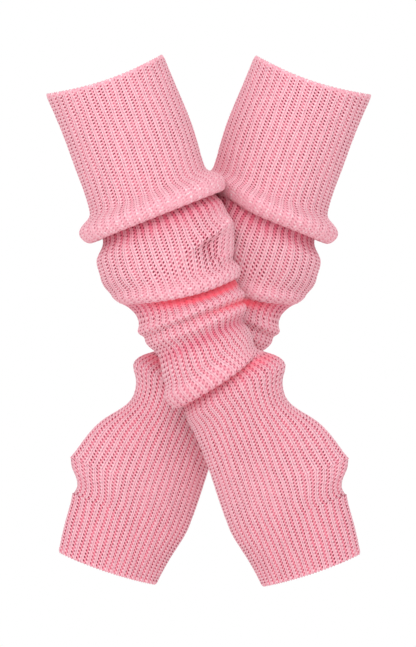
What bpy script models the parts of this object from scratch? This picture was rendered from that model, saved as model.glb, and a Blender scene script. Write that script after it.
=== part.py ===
"""Pair of long ribbed arm warmers, kept in the shape they have on two crossed forearms.

Metres, +Z up, the viewer on the -Y side. The origin is the point where the two arms cross.
Each warmer is one closed wall of knitted cloth, open at the arm, at the hand and at the thumb.
"""

import math

import bpy
import numpy as np

RIBS = 40  # raised ribs round each tube
WALL = 0.0015  # thickness of the plain cloth
RIB_HEIGHT = 0.0009  # how far a rib stands above the furrow beside it
INNER_EVERY = 4  # the plain inside keeps one of this many outer columns

ARM_LEAN = math.radians(21.0)  # each arm leans this far from the vertical
PRESSED_GAP = 0.0002  # air left between the warmers where one lies on the other
SADDLE = 8.0  # bend of the surface that parts them: y = -SADDLE * x * z, in 1/m
SOFTNESS = 0.0015  # how gently the cloth flattens against that surface
FULL_LEAN = 0.0075  # a fold this high leans over as its path says, and a lower one leans less
TALLEST_FOLD = 0.014  # the room that a fold needs in front of it
LEAST_ROOM = 0.00001
PRESSING = 4  # how sharply a fold goes flat where that room ends
PROBE = 0.001  # a short step outward, which shows whether a fold grows towards the other warmer

THUMB_FROM, THUMB_TO = 0.1075, 0.1315  # the opening for the thumb, along the arm
THUMB_HALF_OPEN = 0.0095
THUMB_SPREAD = 0.018  # how far round the ribs make room for it

ROWS_ABOVE_THUMB, ROWS_BESIDE_THUMB, ROWS_BELOW_THUMB = 36, 5, 2
FINE_STEPS = 800  # samples along the cloth that place the rows
ANGLE_ROUNDS = 12  # repeats after which an angle round the oval has settled
BEND_WEIGHT = 0.008  # rows gather where the cloth bends: one radian counts as this much length

PINK = (0.94, 0.40, 0.47, 1.0)

# The sleeve without its folds. Each row is a section across the arm:
# distance along the arm (down is +), reach of its thumb side and of its little finger side,
# and depth of its near and of its far side, for the arm in front.
SECTIONS = (
    # along   thumb   little    near     far
    (-0.229, 0.0485, -0.0424, -0.0500, 0.0260),
    (-0.190, 0.0497, -0.0410, -0.0530, 0.0230),
    (-0.150, 0.0492, -0.0422, -0.0560, 0.0200),
    (-0.125, 0.0470, -0.0428, -0.0575, 0.0160),
    (-0.112, 0.0488, -0.0428, -0.0575, 0.0125),
    (-0.106, 0.0502, -0.0440, -0.0578, 0.0115),
    (-0.100, 0.0508, -0.0500, -0.0590, 0.0120),
    (-0.094, 0.0518, -0.0525, -0.0610, 0.0125),
    (-0.088, 0.0524, -0.0530, -0.0625, 0.0120),
    (-0.080, 0.0500, -0.0532, -0.0635, 0.0100),
    (-0.070, 0.0458, -0.0490, -0.0635, 0.0075),
    (-0.061, 0.0412, -0.0440, -0.0630, 0.0055),
    (-0.052, 0.0400, -0.0385, -0.0620, 0.0043),
    (-0.044, 0.0390, -0.0372, -0.0610, 0.0035),
    (-0.031, 0.0375, -0.0385, -0.0600, 0.0028),
    (-0.017, 0.0340, -0.0342, -0.0590, 0.0022),
    (-0.005, 0.0348, -0.0352, -0.0595, 0.0020),
    (0.006, 0.0350, -0.0360, -0.0595, 0.0018),
    (0.012, 0.0425, -0.0350, -0.0592, 0.0015),
    (0.018, 0.0488, -0.0335, -0.0590, 0.0012),
    (0.025, 0.0505, -0.0315, -0.0580, 0.0004),
    (0.032, 0.0460, -0.0302, -0.0568, -0.0004),
    (0.040, 0.0430, -0.0298, -0.0558, -0.0022),
    (0.051, 0.0434, -0.0295, -0.0545, -0.0045),
    (0.060, 0.0485, -0.0290, -0.0533, -0.0055),
    (0.069, 0.0555, -0.0286, -0.0520, -0.0060),
    (0.090, 0.0652, -0.0293, -0.0497, -0.0060),
    (0.106, 0.0700, -0.0302, -0.0485, -0.0060),
    (0.113, 0.0715, -0.0304, -0.0480, -0.0062),
    (0.119, 0.0672, -0.0304, -0.0475, -0.0065),
    (0.127, 0.0610, -0.0302, -0.0468, -0.0068),
    (0.136, 0.0580, -0.0288, -0.0460, -0.0070),
    (0.150, 0.0566, -0.0258, -0.0448, -0.0070),
    (0.180, 0.0522, -0.0222, -0.0435, -0.0075),
)

# The rib in the middle of the near side: distance along the arm, and its place across it.
MIDDLE_RIB = (
    (-0.229, 0.0030), (-0.125, 0.0020), (-0.030, 0.0000), (0.050, 0.0095), (0.115, 0.0098), (0.180, 0.0085),
)

# How the cloth runs through a fold: distance along the arm from the crest, and share of the height.
FOLD_PATHS = {
    "flap": (
        (-0.0155, 0.0), (-0.0090, 0.14), (-0.0045, 0.66), (0.0, 1.0), (0.0050, 0.95),
        (0.0090, 0.64), (0.0077, 0.28), (0.0056, 0.03), (0.0070, -0.12), (0.0105, -0.12), (0.0160, 0.0),
    ),
    "tuck": (
        (-0.0155, 0.0), (-0.0090, 0.14), (-0.0045, 0.66), (0.0, 1.0), (0.0050, 0.93),
        (0.0088, 0.62), (0.0077, 0.22), (0.0060, -0.06), (0.0078, -0.24), (0.0115, -0.20), (0.0165, 0.0),
    ),
    "roll": ((-0.0030, 0.60), (0.0, 1.0), (0.0027, 0.64), (0.0058, 0.0)),
}

# Rings and folds in the order of the cloth. The place along the arm and the height are given at
# the thumb side, the near side, the little finger side and the far side. Length stretches the path.
COURSE = (
    # kind    along: thumb, near, little, far              height: thumb, near, little, far     length
    ("ring", (-0.2248, -0.2213, -0.2282, -0.2205), (0.0, 0.0, 0.0, 0.0), 1.0),
    ("ring", (-0.1980, -0.1965, -0.2000, -0.1965), (0.0, 0.0, 0.0, 0.0), 1.0),
    ("ring", (-0.1700, -0.1700, -0.1700, -0.1700), (0.0, 0.0, 0.0, 0.0), 1.0),
    ("flap", (-0.1235, -0.1225, -0.1222, -0.1225), (0.0112, 0.0125, 0.0134, 0.0110), 1.0),
    ("ring", (-0.0960, -0.0960, -0.0960, -0.0960), (0.0, 0.0, 0.0, 0.0), 1.0),
    ("ring", (-0.0780, -0.0780, -0.0800, -0.0780), (0.0, 0.0, 0.0, 0.0), 1.0),
    ("tuck", (-0.0565, -0.0558, -0.0650, -0.0570), (0.0050, 0.0070, 0.0016, 0.0030), 0.68),
    ("roll", (-0.0368, -0.0374, -0.0382, -0.0378), (0.0032, 0.0050, 0.0035, 0.0030), 0.93),
    ("roll", (-0.0262, -0.0255, -0.0265, -0.0265), (0.0032, 0.0035, 0.0010, 0.0020), 0.95),
    ("tuck", (0.0030, 0.0095, 0.0170, 0.0090), (0.0008, 0.0085, 0.0065, 0.0040), 1.0),
    ("ring", (0.0380, 0.0400, 0.0420, 0.0400), (0.0, 0.0, 0.0, 0.0), 1.0),
    ("ring", (0.0700, 0.0700, 0.0700, 0.0700), (0.0, 0.0, 0.0, 0.0), 1.0),
    ("ring", (0.1000, 0.1000, 0.1000, 0.1000), (0.0, 0.0, 0.0, 0.0), 1.0),
    ("ring", (0.1350, 0.1350, 0.1350, 0.1350), (0.0, 0.0, 0.0, 0.0), 1.0),
    ("ring", (0.1760, 0.1765, 0.1728, 0.1755), (0.0, 0.0, 0.0, 0.0), 1.0),
)

# Creases that run across the near side: from and to (along, across), height (a hollow is
# negative) and half-width.
CREASES = (
    # along    across    along    across   height   width
    (-0.0905, 0.0490, -0.0805, 0.0120, 0.0030, 0.0045),
    (-0.0798, 0.0420, -0.0745, 0.0214, -0.0030, 0.0042),
)
CREASE_FADE = 0.25  # a crease dies out over this share of its length past each end
NEAR_ONLY = 3  # how soon it dies out towards the two sides of the arm


def spline_through(knots, values):
    """Natural cubic spline, as a function: its second derivatives solve the usual tridiagonal system."""
    knots, values = np.asarray(knots, float), np.asarray(values, float)
    steps, slopes = np.diff(knots), np.diff(values, axis=0).T / np.diff(knots)
    system = np.eye(len(knots))
    right = np.zeros_like(values)
    for i in range(1, len(knots) - 1):
        system[i, i - 1 : i + 2] = steps[i - 1], 2 * (steps[i - 1] + steps[i]), steps[i]
        right[i] = 6 * (slopes.T[i] - slopes.T[i - 1])
    bends = np.linalg.solve(system, right)

    def at(where):
        i = np.clip(np.searchsorted(knots, where) - 1, 0, len(steps) - 1)
        step = steps[i]
        before, after = (knots[i + 1] - where) / step, (where - knots[i]) / step
        if values.ndim > 1:
            step, before, after = step[..., None], before[..., None], after[..., None]
        cubic = (before**3 - before) * bends[i] + (after**3 - after) * bends[i + 1]
        return before * values[i] + after * values[i + 1] + cubic * step**2 / 6

    return at


def waves_of(thumb, near, little, far):
    """Four values round the arm as a mean and its waves: 1, cos a, sin a, cos 2a."""
    mean = (thumb + near + little + far) / 4
    return mean, (thumb - little) / 2, (near - far) / 2, (thumb + little - near - far) / 4


def cloth_lines():
    """The splines along the cloth: unfolded place, folded place and height, each as waves round the arm."""
    plain, folded, heights = [], [], []
    for kind, along, height, length in COURSE:
        path = FOLD_PATHS.get(kind, ((0.0, 0.0),))
        first, last = path[0][0], path[-1][0]
        leans = [min(h / (FULL_LEAN * length), 1.0) for h in height]
        for i, (shift, share) in enumerate(path):
            even = first + (last - first) * i / max(len(path) - 1, 1)
            plain.append(waves_of(*(a + even * length for a in along)))
            folded.append(
                waves_of(*(a + (even + lean * (shift - even)) * length for a, lean in zip(along, leans)))
            )
            heights.append(waves_of(*(h * share for h in height)))
    plain, folded, heights = np.array(plain), np.array(folded), np.array(heights)
    chords = np.hypot(np.diff(folded[:, 0]), np.diff(heights[:, 0]))
    knots = np.concatenate([[0.0], np.cumsum(chords)])
    return knots, spline_through(knots, plain), spline_through(knots, folded), spline_through(knots, heights)


SECTION_TABLE = np.array(SECTIONS)
SECTION_AT = spline_through(SECTION_TABLE[:, 0], SECTION_TABLE[:, 1:])
MIDDLE_RIB_AT = spline_through(*zip(*MIDDLE_RIB))
KNOTS, PLAIN_AT, FOLDED_AT, HEIGHT_AT = cloth_lines()


def section(along):
    """Centre across, half width, centre depth and half depth of the plain sleeve."""
    thumb, little, near, far = np.moveaxis(SECTION_AT(along), -1, 0)
    return (thumb + little) / 2, (thumb - little) / 2, (near + far) / 2, (far - near) / 2


def round_arm(waves, angle):
    """The value at an angle round the arm, from its mean and waves."""
    return (
        waves[..., 0]
        + waves[..., 1] * np.cos(angle)
        + waves[..., 2] * np.sin(angle)
        + waves[..., 3] * np.cos(2 * angle)
    )


def thumb_opening(along):
    """Half the width of the opening in the thumb seam, zero above and below it."""
    share = np.clip((along - THUMB_FROM) / (THUMB_TO - THUMB_FROM), 0.0, 1.0)
    return THUMB_HALF_OPEN * np.sqrt(np.sin(math.pi * share).clip(0.0))


def angle_round(share, along):
    """Angle of a column: equal lengths of cloth round the oval, parted at the thumb opening.

    The length round an oval is about (W + H) / 2 * (a - flatness / 2 * sin 2a). The share runs
    from 0 at the thumb seam past the near side to 1 at the same seam. The middle rib keeps to its
    line where the sleeve bulges to one side, and the ribs beside it shift less and less.
    """
    centre, wide, _, deep = section(along)
    round_length = math.pi * (wide + deep)
    from_seam = np.where(share > 0.5, share - 1.0, share) * round_length
    side = np.where(share > 0.5, -1.0, 1.0)
    from_seam = from_seam + side * thumb_opening(along) * np.exp(-np.abs(from_seam) / THUMB_SPREAD)
    turned = 2 * math.pi * from_seam / round_length
    flatness = (wide - deep) / (wide + deep)
    angle = turned
    for _ in range(ANGLE_ROUNDS):
        angle = turned + flatness / 2 * np.sin(2 * angle)
    return angle + (centre - MIDDLE_RIB_AT(along)) / wide * np.sin(angle)


def crease_height(along, across, angle):
    """Height of the creases at a point of the near side: each is a straight, round-topped ridge."""
    total = 0.0
    for along_a, across_a, along_b, across_b, height, width in CREASES:
        run = np.array([along_b - along_a, across_b - across_a])
        length = np.hypot(*run)
        run = run / length
        on = ((along - along_a) * run[0] + (across - across_a) * run[1]) / length
        off = (along - along_a) * run[1] - (across - across_a) * run[0]
        before, after = np.clip(on / CREASE_FADE + 1, 0, 1), np.clip((1 - on) / CREASE_FADE + 1, 0, 1)
        total = total + height * before * after * np.exp(-((off / width) ** 2))
    return total * np.clip(np.sin(angle) * NEAR_ONLY, 0, 1)


def cloth_surface(length, share, front):
    """The middle of the outer face: a point for each length along the cloth and share round it."""
    mirror = 1.0 if front else -1.0
    middle = PLAIN_AT(length)[..., 0]
    angle = angle_round(share, middle)
    plain = round_arm(PLAIN_AT(length), angle)
    folded = round_arm(FOLDED_AT(length), angle)
    height = round_arm(HEIGHT_AT(length), angle)

    def place(along, lift):
        centre, wide, depth, deep = section(along)
        across = centre + (wide + lift) * np.cos(angle)
        y = mirror * depth - (deep + lift) * np.sin(angle)
        x = mirror * (along * math.sin(ARM_LEAN) + across * math.cos(ARM_LEAN))
        z = -along * math.cos(ARM_LEAN) + across * math.sin(ARM_LEAN)
        return x, y, z, across

    # A fold that has no room before the other warmer is pressed flat.
    x, y, z, _ = place(plain, 0.0)
    x_out, y_out, z_out, _ = place(plain, PROBE)
    slope = np.sqrt(1 + SADDLE**2 * (x**2 + z**2))
    clear = mirror * (-SADDLE * x * z - y)
    clear_out = mirror * (-SADDLE * x_out * z_out - y_out)
    facing = np.maximum((clear - clear_out) / slope / PROBE, 0.0)
    room = np.maximum(clear, LEAST_ROOM) / slope
    left = (1 + (facing * TALLEST_FOLD / room) ** PRESSING) ** (-1 / PRESSING)
    along = plain + left * (folded - plain)
    lift = left * height

    _, _, _, across = place(along, lift)
    lift = lift + crease_height(along, across, angle)
    x, y, z, _ = place(along, lift)

    # The cloth stays on its own side of the saddle that parts the two warmers.
    slope = np.sqrt(1 + SADDLE**2 * (x**2 + z**2))
    limit = -SADDLE * x * z - mirror * (RIB_HEIGHT + PRESSED_GAP / 2) * slope
    room = mirror * (limit - y)
    kept = SOFTNESS * np.logaddexp(0.0, room / SOFTNESS)
    return np.stack([x, limit - mirror * kept, z], axis=-1)


def outward(length, share, front):
    """Unit normals, from short steps along and round the cloth."""
    step, turn = 2e-4, 1e-3
    down = cloth_surface(length + step, share, front) - cloth_surface(length - step, share, front)
    past = cloth_surface(length, share + turn, front) - cloth_surface(length, share - turn, front)
    normal = np.cross(past, down) * (1.0 if front else -1.0)
    return normal / np.linalg.norm(normal, axis=-1, keepdims=True)


def row_lengths(first, last, count):
    """Rows along the cloth between two lengths, closer together where the cloth bends."""
    fine = np.linspace(first, last, FINE_STEPS)
    weight = 0.0
    for angle in np.linspace(0.0, math.pi, 5):
        along, height = round_arm(FOLDED_AT(fine), angle), round_arm(HEIGHT_AT(fine), angle)
        heading = np.unwrap(np.arctan2(np.gradient(height), np.gradient(along)))
        run = np.hypot(np.gradient(along), np.gradient(height))
        weight = weight + run + BEND_WEIGHT * np.abs(np.gradient(heading))
    grown = np.concatenate([[0.0], np.cumsum((weight[1:] + weight[:-1]) / 2)])
    return np.interp(np.linspace(0, grown[-1], count + 1), grown, fine)


def all_rows():
    """Every row's length along the cloth, with one row at each end of the thumb opening."""
    fine = np.linspace(KNOTS[0], KNOTS[-1], 5 * FINE_STEPS)
    thumb_from, thumb_to = np.interp((THUMB_FROM, THUMB_TO), PLAIN_AT(fine)[..., 0], fine)
    above = row_lengths(KNOTS[0], thumb_from, ROWS_ABOVE_THUMB)
    beside = row_lengths(thumb_from, thumb_to, ROWS_BESIDE_THUMB)
    below = row_lengths(thumb_to, KNOTS[-1], ROWS_BELOW_THUMB)
    return np.concatenate([above, beside[1:], below[1:]])


def wall_faces(index):
    """Quads between neighbouring rows and columns; index holds each grid point's vertex number."""
    quads = []
    for row in range(index.shape[0] - 1):
        for column in range(index.shape[1] - 1):
            quads.append(
                (
                    index[row, column],
                    index[row + 1, column],
                    index[row + 1, column + 1],
                    index[row, column + 1],
                )
            )
    return quads


def join_rims(outer, inner):
    """A strip between an outer run of vertices and an inner one with fewer columns."""
    faces = []
    for i in range(len(inner) - 1):
        middle = i * INNER_EVERY + INNER_EVERY // 2
        for j in range(i * INNER_EVERY, (i + 1) * INNER_EVERY):
            faces.append((outer[j], outer[j + 1], inner[i if j < middle else i + 1]))
        faces.append((outer[middle], inner[i + 1], inner[i]))
    return faces


def number_grid(rows, columns, open_rows, first_number):
    """Vertex numbers of a tube's grid: its last column is its first one, except beside the opening."""
    index = np.arange(rows * columns).reshape(rows, columns) + first_number
    seam = index[:, 0].copy()
    index = np.concatenate([index, seam[:, None]], axis=1)
    lips = np.arange(len(open_rows)) + first_number + rows * columns
    index[open_rows, -1] = lips
    return index


def warmer_mesh(name, front):
    """One closed wall: ribs raised in the outer points, a plain inside, rims and thumb lips between."""
    lengths = all_rows()
    open_rows = np.arange(ROWS_ABOVE_THUMB + 1, ROWS_ABOVE_THUMB + ROWS_BESIDE_THUMB)
    columns = 2 * RIBS
    points, grids, taken = [], [], 0
    for every, is_outer in ((1, True), (INNER_EVERY, False)):
        around = np.arange(0, columns + 1, every)
        length, column = np.meshgrid(lengths, around, indexing="ij")
        share = column / columns
        surface = cloth_surface(length, share, front)
        normal = outward(length, share, front)
        lift = np.where(column % 2 == 1, RIB_HEIGHT, 0.0) if is_outer else np.full(share.shape, -WALL)
        surface = surface + normal * lift[..., None]
        grid = number_grid(len(lengths), len(around) - 1, open_rows, taken)
        points.append(surface[:, :-1].reshape(-1, 3))
        points.append(surface[open_rows, -1])
        taken += points[-2].shape[0] + points[-1].shape[0]
        grids.append(grid)
    outer, inner = grids

    faces = wall_faces(outer)
    faces += [face[::-1] for face in wall_faces(inner)]
    faces += join_rims(outer[0], inner[0])
    faces += [face[::-1] for face in join_rims(outer[-1], inner[-1])]
    for row in range(open_rows[0] - 1, open_rows[-1] + 1):
        faces.append((outer[row, 0], inner[row, 0], inner[row + 1, 0], outer[row + 1, 0]))
        faces.append((outer[row, -1], outer[row + 1, -1], inner[row + 1, -1], inner[row, -1]))
    if front:  # the warmer behind is its mirror image
        faces = [face[::-1] for face in faces]

    mesh = bpy.data.meshes.new(name)
    mesh.from_pydata(np.concatenate(points).tolist(), [], [[int(i) for i in f] for f in faces])
    mesh.update()
    mesh.validate()
    mesh.shade_smooth()
    return mesh


def knit_material(name):
    """Soft acrylic yarn: matt, with a little sheen."""
    material = bpy.data.materials.new(name)
    material.use_nodes = True
    surface = material.node_tree.nodes["Principled BSDF"]
    surface.inputs["Base Color"].default_value = PINK
    surface.inputs["Roughness"].default_value = 0.9
    surface.inputs["Metallic"].default_value = 0.0
    surface.inputs["Sheen Weight"].default_value = 0.3
    material.diffuse_color = PINK
    return material


def main():
    for old in list(bpy.data.objects):
        bpy.data.objects.remove(old)
    collection = bpy.data.collections.new("arm_warmers")
    bpy.context.scene.collection.children.link(collection)
    for name, front in (("warmer_front", True), ("warmer_back", False)):
        mesh = warmer_mesh(name, front)
        mesh.materials.append(knit_material(name + "_yarn"))
        collection.objects.link(bpy.data.objects.new(name, mesh))


main()
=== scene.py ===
import math

import bpy
import numpy as np
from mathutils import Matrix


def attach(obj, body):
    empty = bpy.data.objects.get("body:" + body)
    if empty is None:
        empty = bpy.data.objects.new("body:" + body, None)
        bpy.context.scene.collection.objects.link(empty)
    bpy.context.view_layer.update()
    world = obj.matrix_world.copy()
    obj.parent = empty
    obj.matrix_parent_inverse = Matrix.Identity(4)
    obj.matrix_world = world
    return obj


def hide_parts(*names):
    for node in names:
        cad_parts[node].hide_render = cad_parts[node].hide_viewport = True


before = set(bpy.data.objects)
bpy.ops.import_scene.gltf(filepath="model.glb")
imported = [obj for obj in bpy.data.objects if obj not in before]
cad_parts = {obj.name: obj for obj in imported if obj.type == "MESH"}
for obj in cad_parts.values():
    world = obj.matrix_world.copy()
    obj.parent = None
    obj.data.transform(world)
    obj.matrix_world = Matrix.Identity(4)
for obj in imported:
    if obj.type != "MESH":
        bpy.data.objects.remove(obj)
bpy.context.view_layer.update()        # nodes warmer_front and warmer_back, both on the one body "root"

# The cloth of one arm warmer, in metres.
cloth = {
    "ribs": 40,  # raised ribs round the tube
    "wall": 0.0015,
    "roundFlat": 0.20,  # round the tube before it is stretched: 5 mm for each rib
    "ribHeight": 0.0009,  # room that a rib takes above the furrows
    "coursePitch": 0.00245,  # cloth from one course of stitches to the next
    "rowsPerCourse": 4,
    "columnsAt": (0.0, 0.18, 0.34, 0.50, 0.66, 0.82),  # where the grid's columns lie in one rib
    "insideEvery": (4, 3),  # the plain inside keeps one of this many rows and columns
    "shelterShare": 0.6,  # how much of the shelter map is added to the shade bands and spots
    "cutAt": (-0.1115, 0.0180),  # where the three stretches meet, each in the bottom of a groove
}

# Height of one stitch in mm above the furrow: a line for each quarter of the course, a column for each
# place in columnsAt. The two holes beside the furrow's bars are half a course apart. Where the ribs are
# drawn apart the furrow comes up and its holes open, and where they close up it sinks.
stitchCharts = {
    "drawnApart": (
        # furrow  hole   leg    middle  leg    hole
        (0.40, 0.30, 0.98, 0.62, 0.98, 0.30),
        (0.34, 0.42, 0.90, 0.55, 1.06, -0.60),
        (0.40, 0.30, 0.98, 0.72, 0.98, 0.30),
        (0.34, -0.60, 1.06, 0.55, 0.90, 0.42),
    ),
    "closedUp": (
        (0.10, 0.32, 0.98, 0.62, 0.98, 0.32),
        (0.02, 0.40, 0.92, 0.40, 1.06, -0.55),
        (0.10, 0.32, 0.98, 0.72, 0.98, 0.32),
        (0.02, -0.55, 1.06, 0.40, 0.92, 0.40),
    ),
    "ribApart": 0.0060,  # breadth of a rib that is fully drawn apart, and of one that is closed up
    "ribClosed": 0.0050,
    "level": 0.0006,  # height that flattened stitches come down to
    "uneven": 0.18,  # how far a stitch strays from its height, as a share of it
    "unevenWithin": (0.5, 1.3),
    "flattened": 0.75,
    "seed": 5,
}

# How the pair lies: two tubes that lean to opposite sides and cross at the origin.
pose = {
    "lean": math.radians(21.0),
    "pressedGap": 0.0002,  # air left where one warmer lies on the other
    "saddle": 8.0,  # bend of the surface that parts them: y = -saddle * x * z
    "softness": 0.0015,  # the cloth bends into that surface over this much
    "fullLean": 0.0075,  # a fold this high leans over as its path says, and a lower one leans less
    "tallestFold": 0.014,
    "leastRoom": 0.00001,
    "pressing": 4,  # how sharply folds flatten where their room runs out
    "probe": 0.001,  # a step off the cloth, which tells how far it faces the other warmer
}

thumb = {
    "from": 0.1075,  # the opening in the side seam, along the tube
    "to": 0.1315,
    "halfOpen": 0.0095,
    "spread": 0.018,  # the ribs beside it shift less and less over this much cloth
}

# The tube without its folds. Each row is a section across it: distance along it (down is +), reach of
# the seam side, where the thumb opening is, and of the blind side across from it, then the depth of
# the near and of the far side.
sections = np.array([
    # along    seam    blind    near     far
    (-0.229, 0.0485, -0.0424, -0.0500, 0.0260),
    (-0.190, 0.0497, -0.0410, -0.0530, 0.0230),
    (-0.150, 0.0492, -0.0422, -0.0560, 0.0200),
    (-0.125, 0.0470, -0.0428, -0.0575, 0.0160),
    (-0.112, 0.0488, -0.0428, -0.0575, 0.0125),
    (-0.106, 0.0502, -0.0440, -0.0578, 0.0115),
    (-0.100, 0.0508, -0.0500, -0.0590, 0.0120),
    (-0.094, 0.0518, -0.0525, -0.0610, 0.0125),
    (-0.088, 0.0524, -0.0530, -0.0625, 0.0120),
    (-0.080, 0.0500, -0.0532, -0.0635, 0.0100),
    (-0.070, 0.0458, -0.0490, -0.0635, 0.0075),
    (-0.061, 0.0412, -0.0440, -0.0630, 0.0055),
    (-0.052, 0.0400, -0.0385, -0.0620, 0.0043),
    (-0.044, 0.0390, -0.0372, -0.0610, 0.0035),
    (-0.031, 0.0375, -0.0385, -0.0600, 0.0028),
    (-0.017, 0.0340, -0.0342, -0.0590, 0.0022),
    (-0.005, 0.0348, -0.0352, -0.0595, 0.0020),
    (0.006, 0.0350, -0.0360, -0.0595, 0.0018),
    (0.012, 0.0425, -0.0350, -0.0592, 0.0015),
    (0.018, 0.0488, -0.0335, -0.0590, 0.0012),
    (0.025, 0.0505, -0.0315, -0.0580, 0.0004),
    (0.032, 0.0460, -0.0302, -0.0568, -0.0004),
    (0.040, 0.0430, -0.0298, -0.0558, -0.0022),
    (0.051, 0.0434, -0.0295, -0.0545, -0.0045),
    (0.060, 0.0485, -0.0290, -0.0533, -0.0055),
    (0.069, 0.0555, -0.0286, -0.0520, -0.0060),
    (0.090, 0.0652, -0.0293, -0.0497, -0.0060),
    (0.106, 0.0700, -0.0302, -0.0485, -0.0060),
    (0.113, 0.0715, -0.0304, -0.0480, -0.0062),
    (0.119, 0.0672, -0.0304, -0.0475, -0.0065),
    (0.127, 0.0610, -0.0302, -0.0468, -0.0068),
    (0.136, 0.0580, -0.0288, -0.0460, -0.0070),
    (0.150, 0.0566, -0.0258, -0.0448, -0.0070),
    (0.180, 0.0522, -0.0222, -0.0435, -0.0075),
])

# The rib in the middle of the near side: distance along the tube, and its place across it.
middleRib = (
    (-0.229, 0.0030), (-0.125, 0.0020), (-0.030, 0.0000), (0.050, 0.0095), (0.115, 0.0098), (0.180, 0.0085),
)

# How the cloth runs through a fold: distance along the tube from the crest, and share of the height.
foldPaths = {
    "flap": (
        (-0.0155, 0.0), (-0.0090, 0.14), (-0.0045, 0.66), (0.0, 1.0), (0.0050, 0.95),
        (0.0090, 0.64), (0.0077, 0.28), (0.0056, 0.03), (0.0070, -0.12), (0.0105, -0.12), (0.0160, 0.0),
    ),
    "tuck": (
        (-0.0155, 0.0), (-0.0090, 0.14), (-0.0045, 0.66), (0.0, 1.0), (0.0050, 0.93),
        (0.0088, 0.62), (0.0077, 0.22), (0.0060, -0.06), (0.0078, -0.24), (0.0115, -0.20), (0.0165, 0.0),
    ),
    "roll": ((-0.0030, 0.60), (0.0, 1.0), (0.0027, 0.64), (0.0058, 0.0)),
}


def allRound(value):
    # the same at all four sides
    return (value,) * 4


# Rings and folds in the order of the cloth. Place along the tube and height are given at the seam side,
# the near side, the blind side and the far side. Length stretches the path.
course = (
    # kind    along: seam, near, blind, far                height: seam, near, blind, far       length
    ("ring", (-0.2248, -0.2213, -0.2282, -0.2205), allRound(0.0), 1.0),
    ("ring", (-0.1980, -0.1965, -0.2000, -0.1965), allRound(0.0), 1.0),
    ("ring", allRound(-0.1700), allRound(0.0), 1.0),
    ("flap", (-0.1235, -0.1225, -0.1222, -0.1225), (0.0112, 0.0125, 0.0134, 0.0110), 1.0),
    ("ring", allRound(-0.0960), allRound(0.0), 1.0),
    ("ring", (-0.0780, -0.0780, -0.0800, -0.0780), allRound(0.0), 1.0),
    ("tuck", (-0.0565, -0.0558, -0.0650, -0.0570), (0.0050, 0.0070, 0.0016, 0.0030), 0.68),
    ("roll", (-0.0368, -0.0374, -0.0382, -0.0378), (0.0032, 0.0050, 0.0035, 0.0030), 0.93),
    ("roll", (-0.0262, -0.0255, -0.0265, -0.0265), (0.0032, 0.0035, 0.0010, 0.0020), 0.95),
    ("tuck", (0.0030, 0.0095, 0.0170, 0.0090), (0.0008, 0.0085, 0.0065, 0.0040), 1.0),
    ("ring", (0.0380, 0.0400, 0.0420, 0.0400), allRound(0.0), 1.0),
    ("ring", allRound(0.0700), allRound(0.0), 1.0),
    ("ring", allRound(0.1000), allRound(0.0), 1.0),
    ("ring", allRound(0.1350), allRound(0.0), 1.0),
    ("ring", (0.1760, 0.1765, 0.1728, 0.1755), allRound(0.0), 1.0),
)

# Bands round the cloth: place along the unfolded cloth at the seam side, the near side, the blind side
# and the far side, then the half-width and the strength at those four.
bands = {
    # painted shade at the bottom of a groove, deep coral where light passes from yarn to yarn
    "grooveShade": (
        ((-0.0476, -0.0470, -0.0575, -0.0500), (0.0036, 0.0031, 0.0036, 0.0035), (1.25, 1.45, -0.50, 0.20)),
        ((-0.0311, -0.0320, -0.0325, -0.0320), (0.0030, 0.0024, 0.0024, 0.0024), (1.05, 0.10, 0.10, 0.15)),
        ((0.0150, 0.0190, 0.0260, 0.0200), (0.0030, 0.0040, 0.0040, 0.0035), (0.30, 0.50, 0.25, 0.20)),
    ),
    # cloth in the shade of a fold
    "shade": (
        ((-0.1115, -0.1105, -0.1100, -0.1105), (0.0085, 0.0090, 0.0050, 0.0060), (0.95, 0.85, 0.55, 0.60)),
        ((-0.0480, -0.0475, -0.0560, -0.0490), (0.0070, 0.0055, 0.0080, 0.0050), (0.60, 0.50, 0.90, 0.60)),
        ((-0.0190, -0.0145, -0.0120, -0.0160), (0.0060, 0.0055, 0.0050, 0.0045), (0.65, 0.85, 0.50, 0.40)),
        ((0.0140, 0.0185, 0.0255, 0.0195), (0.0060, 0.0080, 0.0080, 0.0060), (0.60, 0.75, 0.70, 0.50)),
    ),
    # where the stitches press together over the outside of a fold
    "calm": (
        ((-0.1260, -0.1250, -0.1245, -0.1250), (0.0080, 0.0068, 0.0058, 0.0068), (0.95, 0.88, 0.72, 0.80)),
        ((-0.0590, -0.0585, -0.0650, -0.0590), (0.0040, 0.0056, 0.0050, 0.0050), (0.50, 0.66, 0.60, 0.50)),
        ((-0.0378, -0.0380, -0.0385, -0.0380), allRound(0.0030), (0.45, 0.40, 0.35, 0.40)),
        ((-0.0262, -0.0258, -0.0265, -0.0262), allRound(0.0030), (0.50, 0.35, 0.20, 0.30)),
        ((0.0010, 0.0060, 0.0130, 0.0060), (0.0040, 0.0060, 0.0058, 0.0050), (0.25, 0.52, 0.52, 0.40)),
    ),
}

# Spots of the near side: place along and across the tube, half-length, half-width and strength.
spots = {
    "calm": (
        (-0.0900, 0.0475, 0.0130, 0.0070, 0.90),
        (-0.0700, 0.0440, 0.0060, 0.0080, 0.60),
    ),
    "shade": (
        (-0.0790, 0.0320, 0.0095, 0.0085, 0.45),
    ),
    # where the stitches are drawn open over a hollow: larger holes, with darker painted shade in them
    "open": (
        (-0.0745, 0.0300, 0.0105, 0.0100, 1.0),
    ),
}

# Creases across the near side: from and to (along, across), height (a hollow is negative), half-width.
creases = {
    "rows": (
        (-0.0905, 0.0490, -0.0805, 0.0120, 0.0036, 0.0042),
        (-0.0815, 0.0315, -0.0690, 0.0335, -0.0046, 0.0088),
    ),
    "fade": 0.25,  # each dies out over this share of its length past each end
    "nearOnly": 3,  # how sharply creases and spots end at the edge of the near side
}


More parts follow.
